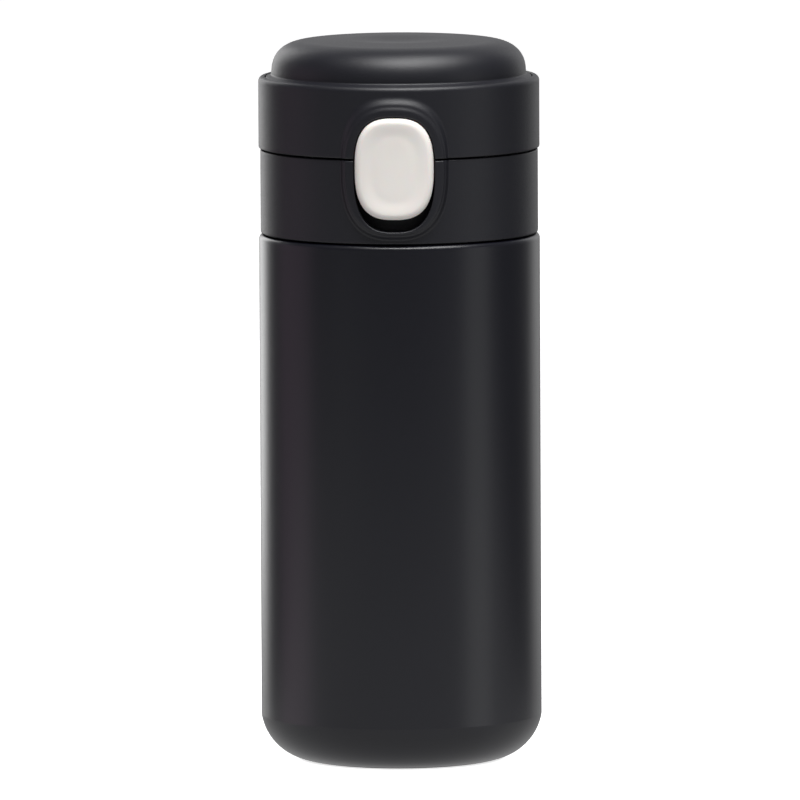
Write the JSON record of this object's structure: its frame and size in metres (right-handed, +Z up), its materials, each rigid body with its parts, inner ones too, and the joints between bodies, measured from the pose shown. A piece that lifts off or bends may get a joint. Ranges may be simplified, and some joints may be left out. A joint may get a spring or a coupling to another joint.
{
  "type": "vacuum flask",
  "caption": "Slim double-walled vacuum flask with a screw-on drinking collar and a hinged domed lid released by a rocking push button.",
  "frame": {"origin": "centre of the base, on the plane that the flask stands on", "axes": "+Z up along the flask's axis, button towards -Y, hinge towards +Y, +X to the right when the button is seen from the front"},
  "size_m": [0.066, 0.0708, 0.1697],
  "materials": {
    "powder_coat": "smooth matte powder coat",
    "polished_steel": "satin",
    "inner_steel": "electropolished satin",
    "foil": "bright foil",
    "getter": "sintered powder metal",
    "seal_glass": "fused",
    "silicone": "matte translucent",
    "black_plastic": "fine spark texture",
    "inner_plastic": "satin",
    "spring_steel": "drawn wire",
    "white_plastic": "warm white satin"
  },
  "bodies": {
    "bottle": {"outer_shell": "powder_coat", "outer_bottom": "powder_coat", "base_disc": "polished_steel", "vacuum_seal_bead": "seal_glass", "inner_bottle": "inner_steel", "heat_foil": "foil", "getter_pellet": "getter", "getter_clip": "polished_steel"},
    "seal": {"bottle_seal": "silicone"},
    "lid_base": {"collar": "black_plastic", "spout": "inner_plastic", "latch_pin": "polished_steel", "button_spring": "spring_steel", "hinge_pin": "polished_steel", "hinge_spring": "spring_steel"},
    "latch": {"button": "white_plastic", "latch_lever": "black_plastic"},
    "lid": {"lid_ring": "black_plastic", "lid_dome": "black_plastic", "lid_liner": "inner_plastic", "stopper": "silicone"}
  },
  "joints": [
    {"name": "lid_lift", "type": "slide", "parent": "bottle", "child": "seal", "axis": [0, 0, 1], "range_m": [0, 0.014]},
    {"name": "lid_unscrew", "type": "hinge", "parent": "seal", "child": "lid_base", "pos_m": [0, 0, 0.13], "axis": [0, 0, 1], "range_deg": [0, 1260]},
    {"name": "lid_flip", "type": "hinge", "parent": "lid_base", "child": "lid", "pos_m": [0, 0.0332, 0.1466], "axis": [-1, 0, 0], "range_deg": [0, 110], "deforming": ["hinge_spring"]},
    {"name": "button_press", "type": "hinge", "parent": "lid_base", "child": "latch", "pos_m": [0, -0.0296, 0.142], "axis": [1, 0, 0], "range_deg": [0, 6.5], "stiffness_Nm_per_rad": 0.3, "springref_deg": -5.73, "deforming": ["button_spring"]}
  ],
  "couplings": [
    {"joint": "lid_unscrew", "follows": "lid_lift", "rad_per_m": 1570.8}
  ]
}
